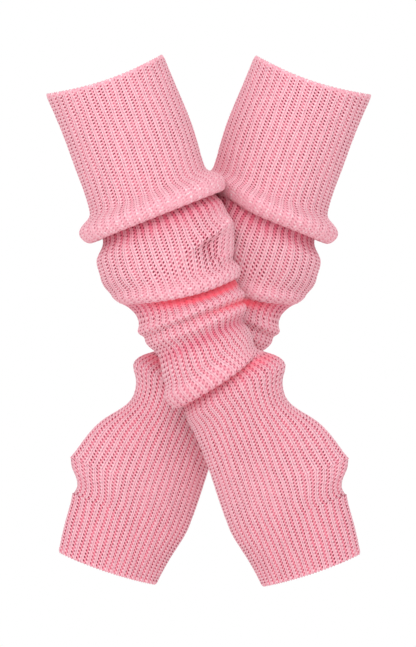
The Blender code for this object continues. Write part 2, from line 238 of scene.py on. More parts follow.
def splineThrough(knots, values):
    # natural cubic spline as a function: its second derivatives solve the usual tridiagonal system
    knots, values = np.asarray(knots, float), np.asarray(values, float)
    steps, slopes = np.diff(knots), np.diff(values, axis=0).T / np.diff(knots)
    system = np.eye(len(knots))
    right = np.zeros_like(values)
    for i in range(1, len(knots) - 1):
        system[i, i - 1 : i + 2] = steps[i - 1], 2 * (steps[i - 1] + steps[i]), steps[i]
        right[i] = 6 * (slopes.T[i] - slopes.T[i - 1])
    bends = np.linalg.solve(system, right)

    def at(where):
        i = np.clip(np.searchsorted(knots, where) - 1, 0, len(steps) - 1)
        step = steps[i]
        before, after = (knots[i + 1] - where) / step, (where - knots[i]) / step
        if values.ndim > 1:
            step, before, after = step[..., None], before[..., None], after[..., None]
        cubic = (before**3 - before) * bends[i] + (after**3 - after) * bends[i + 1]
        return before * values[i] + after * values[i + 1] + cubic * step**2 / 6

    return at


def wavesOf(seam, near, blind, far):
    # four values round the tube as a mean and its waves: 1, cos a, sin a, cos 2a
    mean = (seam + near + blind + far) / 4
    return mean, (seam - blind) / 2, (near - far) / 2, (seam + blind - near - far) / 4


def roundTube(waves, angle):
    # the value at an angle round the tube, from its mean and waves
    mean, cosine, sine, double = np.moveaxis(waves, -1, 0)
    return mean + cosine * np.cos(angle) + sine * np.sin(angle) + double * np.cos(2 * angle)


def clothLines():
    # splines along the cloth: unfolded place, folded place and height, each as waves round the tube
    plain, folded, heights = [], [], []
    for kind, along, height, length in course:
        path = foldPaths.get(kind, ((0.0, 0.0),))
        first, last = path[0][0], path[-1][0]
        leans = [min(h / (pose["fullLean"] * length), 1.0) for h in height]
        for i, (shift, share) in enumerate(path):
            even = first + (last - first) * i / max(len(path) - 1, 1)
            plain.append(wavesOf(*(a + even * length for a in along)))
            moved = [even + lean * (shift - even) for lean in leans]
            folded.append(wavesOf(*(a + move * length for a, move in zip(along, moved))))
            heights.append(wavesOf(*(h * share for h in height)))
    plain, folded, heights = np.array(plain), np.array(folded), np.array(heights)
    chords = np.hypot(np.diff(folded[:, 0]), np.diff(heights[:, 0]))
    knots = np.concatenate([[0.0], np.cumsum(chords)])
    return knots, splineThrough(knots, plain), splineThrough(knots, folded), splineThrough(knots, heights)


sectionAt = splineThrough(sections[:, 0], sections[:, 1:])
middleRibAt = splineThrough(*zip(*middleRib))
lineKnots, plainAt, foldedAt, heightAt = clothLines()


def section(along):
    # centre across, half width, centre depth and half depth of the plain tube
    seam, blind, near, far = np.moveaxis(sectionAt(along), -1, 0)
    return (seam + blind) / 2, (seam - blind) / 2, (near + far) / 2, (far - near) / 2


def angleRound(share, along):
    # equal lengths of cloth round the oval, parted at the thumb opening: the length round an oval is
    # about (W + H) / 2 * (a - flatness / 2 * sin 2a), and share runs from 0 at the seam to 1 there
    # again. The middle rib keeps to its line, and the ribs beside it shift less and less.
    centre, wide, _, deep = section(along)
    roundLength = math.pi * (wide + deep)
    passed = np.clip((along - thumb["from"]) / (thumb["to"] - thumb["from"]), 0.0, 1.0)
    opening = thumb["halfOpen"] * np.sqrt(np.sin(math.pi * passed).clip(0.0))
    fromSeam = np.where(share > 0.5, share - 1.0, share) * roundLength
    side = np.where(share > 0.5, -1.0, 1.0)
    fromSeam = fromSeam + side * opening * np.exp(-np.abs(fromSeam) / thumb["spread"])
    turned = 2 * math.pi * fromSeam / roundLength
    flatness = (wide - deep) / (wide + deep)
    angle = turned
    rounds = 12  # the angle settles long before
    for _ in range(rounds):
        angle = turned + flatness / 2 * np.sin(2 * angle)
    return angle + (centre - middleRibAt(along)) / wide * np.sin(angle)


def creaseHeight(along, across, angle):
    # each crease is a straight, round-topped ridge or trough: a bell across, faded past its ends
    total = 0.0
    for alongA, acrossA, alongB, acrossB, height, width in creases["rows"]:
        run = np.array([alongB - alongA, acrossB - acrossA])
        length = np.hypot(*run)
        run = run / length
        on = ((along - alongA) * run[0] + (across - acrossA) * run[1]) / length
        off = (along - alongA) * run[1] - (across - acrossA) * run[0]
        before = np.clip(on / creases["fade"] + 1, 0, 1)
        after = np.clip((1 - on) / creases["fade"] + 1, 0, 1)
        total = total + height * before * after * np.exp(-((off / width) ** 2))
    return total * np.clip(np.sin(angle) * creases["nearOnly"], 0, 1)


def clothSurface(length, share, mirror):
    # middle of the outer face: an oval across the tube, moved along and out by the folds and creases,
    # with folds pressed flat and the cloth kept on its own side of the saddle that parts the pair
    middle = plainAt(length)[..., 0]
    angle = angleRound(share, middle)
    plain = roundTube(plainAt(length), angle)
    folded = roundTube(foldedAt(length), angle)
    height = roundTube(heightAt(length), angle)
    lean, saddle, softness = pose["lean"], pose["saddle"], pose["softness"]

    def place(along, lift):
        centre, wide, depth, deep = section(along)
        across = centre + (wide + lift) * np.cos(angle)
        y = mirror * depth - (deep + lift) * np.sin(angle)
        x = mirror * (along * math.sin(lean) + across * math.cos(lean))
        z = -along * math.cos(lean) + across * math.sin(lean)
        return x, y, z, across

    x, y, z, _ = place(plain, 0.0)
    xOut, yOut, zOut, _ = place(plain, pose["probe"])
    slope = np.sqrt(1 + saddle**2 * (x**2 + z**2))
    clear = mirror * (-saddle * x * z - y)
    clearOut = mirror * (-saddle * xOut * zOut - yOut)
    facing = np.maximum((clear - clearOut) / slope / pose["probe"], 0.0)
    room = np.maximum(clear, pose["leastRoom"]) / slope
    left = (1 + (facing * pose["tallestFold"] / room) ** pose["pressing"]) ** (-1 / pose["pressing"])
    along = plain + left * (folded - plain)
    lift = left * height

    _, _, _, across = place(along, lift)
    lift = lift + creaseHeight(along, across, angle)
    x, y, z, _ = place(along, lift)
    slope = np.sqrt(1 + saddle**2 * (x**2 + z**2))
    limit = -saddle * x * z - mirror * (cloth["ribHeight"] + pose["pressedGap"] / 2) * slope
    kept = softness * np.logaddexp(0.0, mirror * (limit - y) / softness)
    return np.stack([x, limit - mirror * kept, z], axis=-1)


def outward(length, share, mirror):
    # unit normals, from short steps along and round the cloth
    step, turn = 2e-4, 1e-3
    down = clothSurface(length + step, share, mirror) - clothSurface(length - step, share, mirror)
    past = clothSurface(length, share + turn, mirror) - clothSurface(length, share - turn, mirror)
    normal = np.cross(past, down) * mirror
    return normal / np.linalg.norm(normal, axis=-1, keepdims=True)


def courseLengths():
    # courses lie evenly along the cloth: its mean line is measured in fine steps and divided
    samples = 8000
    fine = np.linspace(lineKnots[0], lineKnots[-1], samples)
    along, height = foldedAt(fine)[:, 0], heightAt(fine)[:, 0]
    run = np.concatenate([[0.0], np.cumsum(np.hypot(np.diff(along), np.diff(height)))])
    count = round(run[-1] / cloth["coursePitch"])
    rows = count * cloth["rowsPerCourse"] + 1
    print("courses", count, "cloth", round(run[-1], 4), "m long")
    return np.interp(np.linspace(0, run[-1], rows), run, fine)


def bandStrength(name, length, share):
    # sum of a bell across each band, its place, width and strength taken at the angle round the tube,
    # and of a round bell for each spot
    angle = angleRound(share, plainAt(length)[..., 0])
    plain = roundTube(plainAt(length), angle)
    total = 0.0
    centre, wide, _, _ = section(plain)
    across = centre + wide * np.cos(angle)
    for alongAt, acrossAt, tall, broad, strength in spots.get(name, ()):
        spot = strength * np.exp(-(((plain - alongAt) / tall) ** 2) - ((across - acrossAt) / broad) ** 2)
        total = total + spot * np.clip(np.sin(angle) * creases["nearOnly"], 0, 1)
    for band in bands.get(name, ()):
        place, width, strength = (roundTube(np.array(wavesOf(*values)), angle) for values in band)
        total = total + strength * np.exp(-(((plain - place) / width) ** 2))
    return np.clip(total, 0, 1)


def softened(values, reach):
    # mean over a few neighbouring rows, twice, which comes near a bell
    for _ in range(2):
        padded = np.pad(values, ((reach + 1, reach), (0, 0)), mode="edge").cumsum(axis=0)
        values = (padded[2 * reach + 1 :] - padded[: -2 * reach - 1]) / (2 * reach + 1)
    return values


# Lines of sight from the cloth to other cloth, along each rib.
sight = {
    "rowStep": 2,
    "places": 61,  # round the tube
    "steps": (2, 32),  # map rows to the nearest cloth that is looked at, and to where the look ends
    "reach": 0.014,  # cloth farther off than this counts less, and none at twice this
    "overhung": 0.55,  # share of cloth that stands over a point on one side alone
}


def shelterMap(mirror):
    # how much the cloth up and down from each point stands over it, 0 to 1, which sets part of the painted
    # shade: on either side the steepest line of sight to other cloth, as a share of a right angle. Both
    # together count, and so does one alone where it is past half, as under a flap.
    length = lengths[:: sight["rowStep"]]
    where = np.meshgrid(length, np.linspace(0, 1, sight["places"]), indexing="ij")
    points, normals = clothSurface(*where, mirror), outward(*where, mirror)
    steepest = []
    for side in (-1, 1):
        most = np.zeros(points.shape[:2])
        for step in range(*sight["steps"]):
            index = np.clip(np.arange(len(length)) + side * step, 0, len(length) - 1)
            line = points[index] - points
            out = (line * normals).sum(axis=-1)
            far = np.linalg.norm(line, axis=-1) + 1e-9
            slope = np.arcsin(np.clip(out / far, 0, 1)) / (math.pi / 2)
            most = np.maximum(most, slope * np.clip(2 - far / sight["reach"], 0, 1))
        steepest.append(most)
    one, other = steepest
    overhung = np.clip(2 * np.maximum(one, other) - 1, 0, 1)
    return softened(np.clip(one * other + sight["overhung"] * overhung, 0, 1), 1)


lengths = courseLengths()
perCourse = cloth["rowsPerCourse"]
columnShare = (np.arange(cloth["ribs"])[:, None] + np.array(cloth["columnsAt"])).ravel() / cloth["ribs"]
columnShare = np.append(columnShare, 1.0)


def nearestCourse(along):
    # row that begins the course nearest to a place along the tube
    rows = np.arange(0, len(lengths), perCourse)
    return int(rows[np.abs(plainAt(lengths[rows])[:, 0] - along).argmin()])


thumbRows = nearestCourse(thumb["from"]), nearestCourse(thumb["to"])
thumb["from"], thumb["to"] = (float(v) for v in plainAt(lengths[list(thumbRows)])[:, 0])

cuts = [nearestCourse(along) for along in cloth["cutAt"]]
stretches = {"sleeve": (0, cuts[0]), "folds": (cuts[0], cuts[1]), "hand": (cuts[1], len(lengths) - 1)}

# The knitted-off edge at the top and at the hem. The wall thins towards it from both faces.
edge = {
    "scallop": 0.00085,  # how far each loop of the last course stands past the rest
    "welt": 0.00035,  # extra thickness of the knitted-off edge
    "courses": 1.25,  # depth of that edge
    "plainTop": 1.35,  # in courses from the end: the ribs fade out from here at the top and at the hem
    "plainHem": 0.75,
    "plainFade": 0.8,
    "outsideThins": 0.6,  # share of the stitches' height
    "insideThins": 0.55,  # share of the wall, as is the next one
    "rimRounded": 0.25,
}
# Waves that move the ribs: turns round the tube, cloth to one wave, start, and size in ribs.
sway = ((7, 0.061, 0.0, 0.045), (-11, 0.037, 1.3, 0.035), (17, 0.023, 2.1, 0.020))


def swayed(length, share):
    # unevenly fed yarn: each rib wanders a little from its place, as a sum of waves round and along
    shift = 0.0
    for turns, span, start, size in sway:
        shift = shift + size * np.sin(2 * math.pi * (turns * share + length / span) + start)
    return share + shift / cloth["ribs"]


def rowsToEdge():
    # courses from each row to the nearer end of the tube
    row = np.arange(len(lengths)) / perCourse
    return np.minimum(row, row[-1] - row)


def ribsApart(length):
    # 0 where the ribs are closed up, 1 where the tube is stretched and draws them apart
    _, wide, _, deep = section(plainAt(length)[..., 0])
    breadth = math.pi * (wide + deep) / cloth["ribs"]
    closed, apart = stitchCharts["ribClosed"], stitchCharts["ribApart"]
    return np.clip((breadth - closed) / (apart - closed), 0, 1)


def stitchLift(rows, columns, calm, apart):
    # height of the knit over the middle surface: the stitch charts, flattened where the cloth bends over
    perRib = len(cloth["columnsAt"])
    heights = []
    for name in ("closedUp", "drawnApart"):
        chart = np.array(stitchCharts[name]) / 1000
        heights.append(chart[rows % perCourse][:, columns % perRib])
    height = heights[0] + (heights[1] - heights[0]) * apart
    level = stitchCharts["level"]
    draws = np.random.default_rng(stitchCharts["seed"])
    uneven = 1 + stitchCharts["uneven"] * draws.standard_normal((len(lengths), len(columnShare)))
    height = level + (height - level) * uneven[rows][:, columns].clip(*stitchCharts["unevenWithin"])
    return height + (level - height) * stitchCharts["flattened"] * calm


shelters = {mirror: shelterMap(mirror) for mirror in (1.0, -1.0)}


def shelterAt(rows, share, mirror):
    # the map read at these rows and shares, linear between its points
    table = shelters[mirror]
    row = np.broadcast_to(rows[:, None] / sight["rowStep"], share.shape)
    place = share * (table.shape[1] - 1)
    i = np.clip(row.astype(int), 0, table.shape[0] - 2)
    j = np.clip(place.astype(int), 0, table.shape[1] - 2)
    down, over = row - i, place - j
    upper = table[i, j] * (1 - over) + table[i, j + 1] * over
    lower = table[i + 1, j] * (1 - over) + table[i + 1, j + 1] * over
    return upper * (1 - down) + lower * down


def tubePoints(firstRow, lastRow, mirror, inside):
    # one face of the wall: the cloth's middle moved along its normals, by the stitches outside and by
    # the wall's thickness inside. The last course's loops stand past it, two to a rib.
    rowStep, columnStep = cloth["insideEvery"] if inside else (1, 1)
    rows = np.arange(firstRow, lastRow + 1, rowStep)
    columns = np.arange(0, len(columnShare), columnStep)
    length, share = np.meshgrid(lengths[rows], columnShare[columns], indexing="ij")
    share = swayed(length, share)
    toEdge = rowsToEdge()[rows][:, None]
    atEnd = np.clip(1 - toEdge / edge["courses"], 0, 1)
    loops = 0.0 if inside else 0.5 + 0.5 * np.cos(4 * math.pi * share * cloth["ribs"])
    atTop = rows[:, None] < len(lengths) / 2
    length = length + np.where(atTop, -1.0, 1.0) * edge["scallop"] * loops * atEnd
    # the second is the strength of the painted shade at the bottom of a groove
    calm, grooveShade = bandStrength("calm", length, share), bandStrength("grooveShade", length, share)
    plainFrom = np.where(atTop, edge["plainTop"], edge["plainHem"])
    calm = np.maximum(calm, np.clip((plainFrom - toEdge) / edge["plainFade"], 0, 1))
    apart = ribsApart(length)
    # strength of the painted shade under folds: the shelter map and the shade bands and spots
    overhead = cloth["shelterShare"] * shelterAt(rows, share, mirror)
    shelterShade = np.clip(overhead + bandStrength("shade", length, share), 0, 1)
    surface = clothSurface(length, share, mirror)
    normal = outward(length, share, mirror)
    if inside:
        lift = np.full(share.shape, -cloth["wall"])
        lift = lift + atEnd * (cloth["wall"] * edge["insideThins"])
    else:
        lift = stitchLift(rows, columns, calm, apart)
        bulge = 1 - (2 * np.clip(toEdge / edge["courses"], 0, 1) - 1) ** 2
        rounded = np.where(toEdge == 0, -cloth["wall"] * edge["rimRounded"], 0.0)
        lift = lift * (1 - edge["outsideThins"] * atEnd) + edge["welt"] * bulge + rounded
    opened = bandStrength("open", length, share)
    fields = {"calm": calm, "shelterShade": shelterShade, "grooveShade": grooveShade, "apart": apart, "open": opened}
    return surface + normal * lift[..., None], fields, rows, columns


def numberGrid(shape, openRows, firstNumber):
    # vertex numbers of a tube's grid: the last column is the first one, except beside the opening
    rows, columns = shape
    index = np.arange(rows * columns).reshape(rows, columns) + firstNumber
    index = np.concatenate([index, index[:, :1]], axis=1)
    index[openRows, -1] = np.arange(len(openRows)) + firstNumber + rows * columns
    return index


def gridFaces(index, uv):
    # quads between neighbouring rows and columns, with the uv of each corner
    corners = ((0, 0), (1, 0), (1, 1), (0, 1))
    rows, columns = index.shape
    quads = np.stack([index[r : rows - 1 + r, c : columns - 1 + c] for r, c in corners], axis=-1)
    places = np.stack([uv[r : rows - 1 + r, c : columns - 1 + c] for r, c in corners], axis=-2)
    return quads.reshape(-1, 4), places.reshape(-1, 4, 2)


def joinRuns(outer, inner, every, outerUv, innerUv):
    # a strip of triangles between a run of vertices and a coarser one that keeps one of `every`
    half = every // 2
    j = np.arange(len(outer) - 1)
    near = np.where(j % every < half, j // every, j // every + 1)
    fans = np.stack([outer[j], outer[j + 1], inner[near]], axis=-1)
    fanUv = np.stack([outerUv[j], outerUv[j + 1], innerUv[near]], axis=-2)
    i = np.arange(len(inner) - 1)
    middle = i * every + half
    wedges = np.stack([outer[middle], inner[i + 1], inner[i]], axis=-1)
    wedgeUv = np.stack([outerUv[middle], innerUv[i + 1], innerUv[i]], axis=-2)
    return np.concatenate([fans, wedges]), np.concatenate([fanUv, wedgeUv])


def makeMesh(name, points, quads, quadUv, tris, triUv, attributes):
    # whole arrays into a mesh: its quads, then its triangles, with a uv for each corner
    mesh = bpy.data.meshes.new(name)
    loops = np.concatenate([quads.ravel(), tris.ravel()]).astype(np.int32)
    sizes = np.concatenate([np.full(len(quads), 4), np.full(len(tris), 3)]).astype(np.int32)
    starts = np.concatenate([[0], np.cumsum(sizes)[:-1]]).astype(np.int32)
    mesh.vertices.add(len(points))
    mesh.vertices.foreach_set("co", points.astype(np.float32).ravel())
    mesh.loops.add(len(loops))
    mesh.loops.foreach_set("vertex_index", loops)
    mesh.polygons.add(len(sizes))
    mesh.polygons.foreach_set("loop_start", starts)
    mesh.polygons.foreach_set("loop_total", sizes)
    layer = mesh.uv_layers.new(name="stitches")
    layer.uv.foreach_set("vector", np.concatenate([quadUv.reshape(-1, 2), triUv.reshape(-1, 2)]).ravel())
    for key, values in attributes.items():
        mesh.attributes.new(key, "FLOAT", "POINT").data.foreach_set("value", values.astype(np.float32))
    mesh.update(calc_edges=True)
    mesh.shade_smooth()
    return mesh


def warmerStretch(name, mirror, firstRow, lastRow):
    # one closed wall between two rows: knitted outside, plain inside, rims and thumb lips between
    points, attributes, grids, uvs, taken = [], {}, [], [], 0
    for inside in (False, True):
        surface, fields, rows, columns = tubePoints(firstRow, lastRow, mirror, inside)
        openRows = np.flatnonzero((rows > thumbRows[0]) & (rows < thumbRows[1]))
        stores = [(surface, points)] + [(fields[key], attributes.setdefault(key, [])) for key in fields]
        for values, store in stores:
            store.append(values[:, :-1].reshape(-1, *values.shape[2:]))
            store.append(values[openRows, -1])
        grids.append(numberGrid((len(rows), len(columns) - 1), openRows, taken))
        taken += len(points[-1]) + len(points[-2])
        u, v = np.meshgrid(columnShare[columns] * cloth["ribs"], rows / perCourse)
        halfRib = 0.5 if inside else 0.0  # an outside furrow is a rib on the inside
        uvs.append(np.stack([u + halfRib, v], axis=-1))
    (outer, inner), (outerUv, innerUv) = grids, uvs
    rowStep, columnStep = cloth["insideEvery"]

    quads, quadUv = gridFaces(outer, outerUv)
    insideQuads, insideUv = gridFaces(inner, innerUv)
    quads = np.concatenate([quads, insideQuads[:, ::-1]])
    quadUv = np.concatenate([quadUv, insideUv[:, ::-1]])
    strips = [joinRuns(outer[0], inner[0], columnStep, outerUv[0], innerUv[0])]
    tris, triUv = joinRuns(outer[-1], inner[-1], columnStep, outerUv[-1], innerUv[-1])
    strips.append((tris[:, ::-1], triUv[:, ::-1]))
    if firstRow < thumbRows[0] < lastRow:
        first, last = ((row - firstRow) for row in thumbRows)
        outerRun = slice(first, last + 1)
        innerRun = slice(first // rowStep, last // rowStep + 1)
        for column, turned in ((0, True), (-1, False)):
            tris, triUv = joinRuns(
                outer[outerRun, column], inner[innerRun, column], rowStep,
                outerUv[outerRun, column], innerUv[innerRun, column],
            )
            strips.append((tris[:, ::-1], triUv[:, ::-1]) if turned else (tris, triUv))
    tris = np.concatenate([s[0] for s in strips])
    triUv = np.concatenate([s[1] for s in strips])
    if mirror > 0:  # the warmer behind is its mirror image
        quads, quadUv, tris, triUv = quads[:, ::-1], quadUv[:, ::-1], tris[:, ::-1], triUv[:, ::-1]
    attributes = {key: np.concatenate([v.ravel() for v in values]) for key, values in attributes.items()}
    mesh = makeMesh(name, np.concatenate(points), quads, quadUv, tris, triUv, attributes)
    piece = bpy.data.objects.new(name, mesh)
    bpy.context.scene.collection.objects.link(piece)
    return piece


def linear(hexColour):
    # sRGB hex to the linear colour that a shader takes
    parts = [int(hexColour[i : i + 2], 16) / 255 for i in (1, 3, 5)]
    return tuple(p / 12.92 if p <= 0.04045 else ((p + 0.055) / 1.055) ** 2.4 for p in parts) + (1.0,)


def addNode(tree, kind, inputs=(), output=0, **settings):
    # adds a node, sets it, fills or links its inputs by number or name, and gives one output back
    node = tree.nodes.new("ShaderNode" + kind)
    for key, value in settings.items():
        setattr(node, key, value)
    values = inputs if isinstance(inputs, dict) else dict(enumerate(inputs))
    for key, value in values.items():
        if isinstance(value, bpy.types.NodeSocket):
            tree.links.new(value, node.inputs[key])
        else:
            node.inputs[key].default_value = value
    return node.outputs[output] if node.outputs else node


# Brushed acrylic, spun and knitted as a fine rib: matt and a little hairy, so its edges catch the light.
# Its painted shade, deeper pink, stands for light that has passed from yarn to yarn, in the holes, gaps,
# furrows and grooves and under folds, and painted highlights lie on the legs and bars. Patterns are in
# ribs and courses. A range is where an effect starts and where it is full, then its least and its full
# strength.
yarn = {
    "leg": "#E3A2AF",
    "fleck": "#E9DCDF",  # where the light catches a loop
    # painted shade where one loop goes into the next; the rosy flecks over a fold take this colour too
    "tuckedIn": "#DA8797",  # where one loop goes into the next
    # painted highlight on the bar of yarn between two holes
    "barHighlight": "#E2C1C7",
    # painted shade in the furrow, where the ribs are drawn apart and where they close up
    "furrowShadeApart": "#E296A5",
    "furrowShadeClosed": "#E28294",
    # painted shade in the gap between the two legs of a stitch
    "gapShade": "#9B546A",  # between the two legs of a stitch
    # painted shade round a hole
    "holeRimShade": "#D36279",
    # painted shade seen in a hole
    "hole": "#7B1732",
    "shade": "#D65C76",
    # painted shade at the bottom of a groove
    "grooveShade": "#F46072",
    "sheen": "#FFDDE3",
    "calmHides": 0.85,  # share of the stitches' pattern that goes where the knit is pressed together
    # a hole: place and half-width in ribs, half-height in courses, and how it slants
    "holeFrom": 0.180,
    "holeWide": 0.096,
    "holeTall": 0.25,
    "holeSlant": -1.5,
    "holeGrows": 0.9,  # over a hollow
    "holeRim": (2.4, 0.0),
    "holeCore": (0.35, 0.95),
    "haloRange": (0.0, 0.6, 0.0, 0.7),
    # how far a hole is drawn open
    "runsPerRib": 0.6,
    "runsPerCourse": 0.07,
    "runRange": (0.30, 0.70),
    "drawnByChance": (0.75, 0.05),  # share of its random number, and the least for any hole
    "drawnInRuns": 0.50,
    "drawnOverHollow": 0.90,
    "grooveShuts": 0.9,
    # the painted highlight on the bar between two holes, and the painted shade in the gap between two legs
    "barTall": 0.16,
    "barRim": (2.0, 0.2),
    "gapWide": 0.055,
    "gapTall": 0.34,
    "gapRim": (1.8, 0.1),
    "gapByChance": (-0.4, 1.0),  # a gap's random number is set against this range
    # the legs
    "legFrom": 0.36,  # the top of a leg, in ribs from the furrow's middle
    "legWide": 0.11,
    "loopSlant": 1.3,  # courses that a leg climbs across one rib
    "tuckedRange": (0.30, 0.50),
    "tuckedShare": 0.45,
    "litRange": (0.30, 0.02, 0.15, 0.90),
    "litByChance": (0.35, 1.0),
    # in ribs from the furrow's middle: where the leg's colour gives way to the furrow's painted shade, to
    # the shade and to the painted shade of a groove
    "furrowEdge": (0.27, 0.14),
    "shadeRange": (0.30, 0.16, 0.42, 0.90),
    "grooveRange": (0.30, 0.16, 0.88, 1.0),
    "flecksPerRib": 4.6,
    "flecksPerCourse": 1.7,
    "rosyRange": (0.52, 0.74, 0.0, 0.65),
    "paleRange": (0.46, 0.28, 0.0, 0.85),
    "fibresPerRib": 16.0,
    "fibresPerCourse": 3.0,
    "fibreDepth": 0.0002,
}
smooth = {"interpolation_type": "SMOOTHSTEP"}  # settings that many of its nodes share
blend = {"output": 2, "data_type": "RGBA"}


def stitchPlaces(tree):
    # where a point lies in the knit, and the fields that its mesh carries. Offset runs from -0.5 to 0.5
    # of a rib about the furrow's middle, and aside is the same without its sign.
    at = {"uv": addNode(tree, "UVMap", uv_map="stitches")}
    for name in ("calm", "shelterShade", "grooveShade", "apart", "open"):
        at[name] = addNode(tree, "Attribute", output="Fac", attribute_name=name)
    at["plain"] = addNode(tree, "Math", [at["calm"], -yarn["calmHides"], 1.0], operation="MULTIPLY_ADD")
    split = addNode(tree, "SeparateXYZ", [at["uv"]]).node
    at["across"], at["down"] = split.outputs["X"], split.outputs["Y"]
    shifted = addNode(tree, "Math", [at["across"], 0.5], operation="ADD")
    at["rib"] = addNode(tree, "Math", [shifted], operation="FLOOR")
    offset = addNode(tree, "Math", [shifted], operation="FRACT")
    at["offset"] = addNode(tree, "Math", [offset, 0.5], operation="SUBTRACT")
    at["aside"] = addNode(tree, "Math", [at["offset"]], operation="ABSOLUTE")
    at["side"] = addNode(tree, "Math", [at["offset"]], operation="SIGN")
    at["fromMiddle"] = addNode(tree, "Math", [0.5, at["aside"]], operation="SUBTRACT")
    return at


def holePattern(tree, at):
    # painted shade in each hole and round it. A hole is a slanted oval, (beside / wide)^2 + (below /
    # tall)^2:
    # right of the furrow at three quarters of the course, left of it at one quarter
    side, plain = at["side"], at["plain"]
    row = addNode(tree, "Math", [side, -0.25, at["down"]], operation="MULTIPLY_ADD")
    beside = addNode(tree, "Math", [side, -yarn["holeFrom"], at["offset"]], operation="MULTIPLY_ADD")
    below = addNode(tree, "Math", [row], operation="FRACT")
    below = addNode(tree, "Math", [below, 0.5], operation="SUBTRACT")
    below = addNode(tree, "Math", [beside, yarn["holeSlant"], below], operation="MULTIPLY_ADD")
    wide = addNode(tree, "Math", [beside, yarn["holeWide"]], operation="DIVIDE")
    wide = addNode(tree, "Math", [wide, 2.0], operation="POWER")
    tall = addNode(tree, "Math", [below, yarn["holeTall"]], operation="DIVIDE")
    tall = addNode(tree, "Math", [tall, 2.0], operation="POWER")
    hole = addNode(tree, "Math", [wide, tall], operation="ADD")
    size = addNode(tree, "Math", [at["open"], yarn["holeGrows"], 1.0], operation="MULTIPLY_ADD")
    hole = addNode(tree, "Math", [hole, size], operation="DIVIDE")
    hole = addNode(tree, "MapRange", [hole, *yarn["holeRim"]], **smooth)

    # how far each one is drawn open, which sets how dark its painted shade is: one random number for the
    # hole, and runs of wider ones
    place = addNode(tree, "Math", [side, 0.25, at["rib"]], operation="MULTIPLY_ADD")
    number = addNode(tree, "Math", [row], operation="FLOOR")
    place = addNode(tree, "CombineXYZ", [place, number])
    chance = addNode(tree, "TexWhiteNoise", [place], noise_dimensions="2D")
    run = addNode(tree, "Math", [at["rib"], yarn["runsPerRib"]], operation="MULTIPLY")
    runDown = addNode(tree, "Math", [at["down"], yarn["runsPerCourse"]], operation="MULTIPLY")
    run = addNode(tree, "CombineXYZ", [run, runDown])
    run = addNode(tree, "TexNoise", {"Vector": run, "Scale": 1.0, "Detail": 1.0}, noise_dimensions="2D")
    run = addNode(tree, "MapRange", [run, *yarn["runRange"]], **smooth)
    drawn = addNode(tree, "Math", [chance, *yarn["drawnByChance"]], operation="MULTIPLY_ADD")
    drawn = addNode(tree, "Math", [run, yarn["drawnInRuns"], drawn], operation="MULTIPLY_ADD")
    drawn = addNode(tree, "Math", [at["open"], yarn["drawnOverHollow"], drawn], operation="MULTIPLY_ADD")
    holeShade = addNode(tree, "MapRange", [hole, *yarn["holeCore"]], **smooth)
    holeShade = addNode(tree, "Math", [holeShade, drawn], operation="MULTIPLY", use_clamp=True)
    shut = addNode(tree, "Math", [at["grooveShade"], -yarn["grooveShuts"], 1.0], operation="MULTIPLY_ADD")
    for share in (plain, shut):
        holeShade = addNode(tree, "Math", [holeShade, share], operation="MULTIPLY")
    holeRimShade = addNode(tree, "MapRange", [hole, *yarn["haloRange"]], **smooth)
    holeRimShade = addNode(tree, "Math", [holeRimShade, plain], operation="MULTIPLY")

    # a painted highlight on the pale bar of yarn between one hole and the next
    barHighlight = addNode(tree, "Math", [below], operation="ABSOLUTE")
    barHighlight = addNode(tree, "Math", [0.5, barHighlight], operation="SUBTRACT")
    barHighlight = addNode(tree, "Math", [barHighlight, yarn["barTall"]], operation="DIVIDE")
    barHighlight = addNode(tree, "Math", [barHighlight, 2.0], operation="POWER")
    barHighlight = addNode(tree, "Math", [wide, barHighlight], operation="ADD")
    barHighlight = addNode(tree, "MapRange", [barHighlight, *yarn["barRim"]], **smooth)
    barHighlight = addNode(tree, "Math", [barHighlight, plain], operation="MULTIPLY")
    return holeShade, holeRimShade, barHighlight


def legPattern(tree, at):
    # each leg climbs away from the rib's middle and goes into the next loop, with painted shade where it
    # goes in and a painted highlight where it catches the light between
    down, plain = at["down"], at["plain"]
    climb = addNode(tree, "Math", [at["fromMiddle"], yarn["loopSlant"], down], operation="MULTIPLY_ADD")
    number = addNode(tree, "Math", [climb], operation="FLOOR")
    climb = addNode(tree, "Math", [climb], operation="FRACT")
    climb = addNode(tree, "Math", [climb, 0.5], operation="SUBTRACT")
    climb = addNode(tree, "Math", [climb], operation="ABSOLUTE")
    tuckedShade = addNode(tree, "MapRange", [climb, *yarn["tuckedRange"]], **smooth)
    for share in (plain, yarn["tuckedShare"]):
        tuckedShade = addNode(tree, "Math", [tuckedShade, share], operation="MULTIPLY")
    side = addNode(tree, "Math", [at["across"], 2.0], operation="MULTIPLY")
    side = addNode(tree, "Math", [side], operation="FLOOR")
    place = addNode(tree, "CombineXYZ", [side, number])
    chance = addNode(tree, "TexWhiteNoise", [place], noise_dimensions="2D")
    chance = addNode(tree, "MapRange", [chance, 0.0, 1.0, *yarn["litByChance"]])
    ridge = addNode(tree, "Math", [at["aside"], yarn["legFrom"]], operation="SUBTRACT")
    ridge = addNode(tree, "Math", [ridge], operation="ABSOLUTE")
    ridge = addNode(tree, "MapRange", [ridge, yarn["legWide"], 0.0], **smooth)
    lit = addNode(tree, "MapRange", [climb, *yarn["litRange"]], **smooth)
    for share in (chance, ridge, plain):
        lit = addNode(tree, "Math", [lit, share], operation="MULTIPLY")
    return tuckedShade, lit


